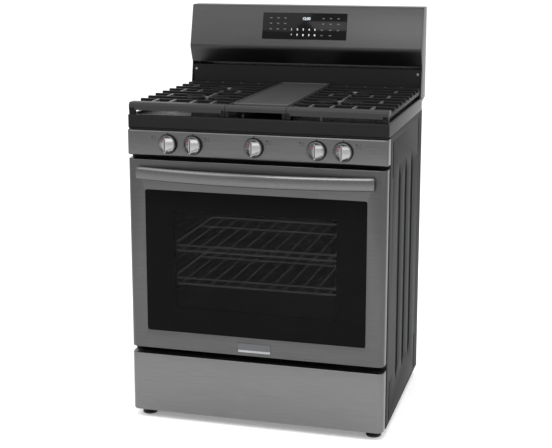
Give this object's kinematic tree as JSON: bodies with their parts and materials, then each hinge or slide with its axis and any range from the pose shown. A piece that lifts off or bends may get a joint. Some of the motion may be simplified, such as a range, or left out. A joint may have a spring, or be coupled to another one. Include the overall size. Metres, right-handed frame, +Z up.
{
  "type": "freestanding gas range",
  "caption": "Freestanding gas range with a drop-down oven door, storage drawer, front control knobs, grated cooktop with a middle griddle, and a backguard with a touch panel.",
  "frame": {"origin": "middle of the footprint on the floor, between the front of the handle and the back of the backguard", "axes": "+Z up, +Y towards the back, so the door and knobs face -Y, and +X towards the right side seen from the front"},
  "size_m": [0.759, 0.7179, 1.194],
  "materials": {
    "black_stainless": "brushed, dark tinted",
    "drawer_steel": "brushed, dark tinted",
    "dark_enamel": "satin enamel",
    "gloss_enamel": "glossy porcelain enamel",
    "galvanised": "galvanised steel sheet",
    "cast_iron": "matte enamelled cast iron",
    "black_glass": "tinted glass",
    "oven_glass": "tinted glass",
    "clear_glass": "clear glass",
    "handle_steel": "brushed, dark tinted",
    "knob_metal": "brushed die casting",
    "zinc_steel": "zinc plated",
    "brass": "machined",
    "burner_aluminium": "cast",
    "chrome_wire": "bright wire",
    "fibre_blanket": "glass fibre",
    "gasket_rubber": "woven and moulded seal",
    "foot_plastic": "moulded",
    "badge_metal": "blank brushed plate"
  },
  "bodies": {
    "cabinet": {"base_pan": "galvanised", "side_panels": "dark_enamel", "rear_panels": "galvanised", "front_frame": "dark_enamel", "oven_side_walls": "gloss_enamel", "oven_roof": "gloss_enamel", "oven_floor": "gloss_enamel", "oven_back": "gloss_enamel", "rack_guides": "chrome_wire", "oven_insulation": "fibre_blanket", "oven_burners": "zinc_steel", "oven_lamp": "clear_glass", "fan_cover": "gloss_enamel", "fan_motor": "galvanised", "door_gasket": "gasket_rubber", "hinge_arms": "zinc_steel", "drawer_rails": "zinc_steel", "control_panel": "black_stainless", "gas_manifold": "zinc_steel", "valve_bodies": "brass", "burner_tubes": "burner_aluminium", "burner_bases": "burner_aluminium", "burner_caps": "cast_iron", "cooktop": "gloss_enamel", "pressure_regulator": "zinc_steel", "backguard_console": "black_stainless", "backguard_lower_panel": "dark_enamel", "backguard_end_caps": "black_stainless", "touch_glass": "black_glass"},
    "oven_door": {"door_skin": "black_stainless", "door_glass_outer": "oven_glass", "door_insulation": "fibre_blanket", "door_glass_inner": "clear_glass", "door_liner": "gloss_enamel", "door_handle": "handle_steel", "handle_brackets": "dark_enamel", "badge_plate": "badge_metal"},
    "storage_drawer": {"drawer_front": "drawer_steel", "drawer_tray": "galvanised"},
    "valve_plunger_1": {"valve_stem_1": "brass"},
    "control_knob_1": {"knob_1": "knob_metal"},
    "valve_plunger_2": {"valve_stem_2": "brass"},
    "control_knob_2": {"knob_2": "knob_metal"},
    "valve_plunger_3": {"valve_stem_3": "brass"},
    "control_knob_3": {"knob_3": "knob_metal"},
    "valve_plunger_4": {"valve_stem_4": "brass"},
    "control_knob_4": {"knob_4": "knob_metal"},
    "valve_plunger_5": {"valve_stem_5": "brass"},
    "control_knob_5": {"knob_5": "knob_metal"},
    "left_grate": {"grate_left": "cast_iron"},
    "right_grate": {"grate_right": "cast_iron"},
    "middle_grate": {"grate_centre": "cast_iron"},
    "griddle_plate": {"griddle": "cast_iron"},
    "fan_wheel": {"fan_blade": "zinc_steel"},
    "lower_rack": {"rack_lower": "chrome_wire"},
    "upper_rack": {"rack_upper": "chrome_wire"},
    "levelling_foot_front_left": {"foot_front_left": "foot_plastic"},
    "levelling_foot_front_right": {"foot_front_right": "foot_plastic"},
    "levelling_foot_rear_left": {"foot_rear_left": "foot_plastic"},
    "levelling_foot_rear_right": {"foot_rear_right": "foot_plastic"}
  },
  "joints": [
    {"name": "door_hinge", "type": "hinge", "parent": "cabinet", "child": "oven_door", "pos_m": [0, -0.28, 0.232], "axis": [1, 0, 0], "range_deg": [0, 90], "stiffness_Nm_per_rad": 20, "springref_deg": -14.32},
    {"name": "drawer_slide", "type": "slide", "parent": "cabinet", "child": "storage_drawer", "axis": [0, -1, 0], "range_m": [0, 0.42]},
    {"name": "knob_1_push", "type": "slide", "parent": "cabinet", "child": "valve_plunger_1", "axis": [0, 1, 0], "range_m": [0, 0.0035], "stiffness_N_per_m": 2500, "springref_m": -0.002},
    {"name": "knob_1_turn", "type": "hinge", "parent": "valve_plunger_1", "child": "control_knob_1", "pos_m": [-0.255, -0.312, 0.832], "axis": [0, -1, 0], "range_deg": [0, 270]},
    {"name": "knob_2_push", "type": "slide", "parent": "cabinet", "child": "valve_plunger_2", "axis": [0, 1, 0], "range_m": [0, 0.0035], "stiffness_N_per_m": 2500, "springref_m": -0.002},
    {"name": "knob_2_turn", "type": "hinge", "parent": "valve_plunger_2", "child": "control_knob_2", "pos_m": [-0.18, -0.312, 0.832], "axis": [0, -1, 0], "range_deg": [0, 270]},
    {"name": "knob_3_push", "type": "slide", "parent": "cabinet", "child": "valve_plunger_3", "axis": [0, 1, 0], "range_m": [0, 0.0035], "stiffness_N_per_m": 2500, "springref_m": -0.002},
    {"name": "knob_3_turn", "type": "hinge", "parent": "valve_plunger_3", "child": "control_knob_3", "pos_m": [0, -0.312, 0.832], "axis": [0, -1, 0], "range_deg": [0, 270]},
    {"name": "knob_4_push", "type": "slide", "parent": "cabinet", "child": "valve_plunger_4", "axis": [0, 1, 0], "range_m": [0, 0.0035], "stiffness_N_per_m": 2500, "springref_m": -0.002},
    {"name": "knob_4_turn", "type": "hinge", "parent": "valve_plunger_4", "child": "control_knob_4", "pos_m": [0.18, -0.312, 0.832], "axis": [0, -1, 0], "range_deg": [0, 270]},
    {"name": "knob_5_push", "type": "slide", "parent": "cabinet", "child": "valve_plunger_5", "axis": [0, 1, 0], "range_m": [0, 0.0035], "stiffness_N_per_m": 2500, "springref_m": -0.002},
    {"name": "knob_5_turn", "type": "hinge", "parent": "valve_plunger_5", "child": "control_knob_5", "pos_m": [0.255, -0.312, 0.832], "axis": [0, -1, 0], "range_deg": [0, 270]},
    {"name": "left_grate_lift", "type": "slide", "parent": "cabinet", "child": "left_grate", "axis": [0, 0, 1], "range_m": [0, 0.06]},
    {"name": "right_grate_lift", "type": "slide", "parent": "cabinet", "child": "right_grate", "axis": [0, 0, 1], "range_m": [0, 0.06]},
    {"name": "middle_grate_lift", "type": "slide", "parent": "cabinet", "child": "middle_grate", "axis": [0, 0, 1], "range_m": [0, 0.05]},
    {"name": "griddle_lift", "type": "slide", "parent": "middle_grate", "child": "griddle_plate", "axis": [0, 0, 1], "range_m": [0, 0.025]},
    {"name": "fan_spin", "type": "hinge", "parent": "cabinet", "child": "fan_wheel", "pos_m": [0, 0.248, 0.496], "axis": [0, 1, 0], "continuous": true},
    {"name": "lower_rack_slide", "type": "slide", "parent": "cabinet", "child": "lower_rack", "axis": [0, -1, 0], "range_m": [0, 0.022]},
    {"name": "upper_rack_slide", "type": "slide", "parent": "cabinet", "child": "upper_rack", "axis": [0, -1, 0], "range_m": [0, 0.022]},
    {"name": "foot_front_left_screw", "type": "slide", "parent": "cabinet", "child": "levelling_foot_front_left", "axis": [0, 0, -1], "range_m": [0, 0.02]},
    {"name": "foot_front_right_screw", "type": "slide", "parent": "cabinet", "child": "levelling_foot_front_right", "axis": [0, 0, -1], "range_m": [0, 0.02]},
    {"name": "foot_rear_left_screw", "type": "slide", "parent": "cabinet", "child": "levelling_foot_rear_left", "axis": [0, 0, -1], "range_m": [0, 0.02]},
    {"name": "foot_rear_right_screw", "type": "slide", "parent": "cabinet", "child": "levelling_foot_rear_right", "axis": [0, 0, -1], "range_m": [0, 0.02]}
  ]
}
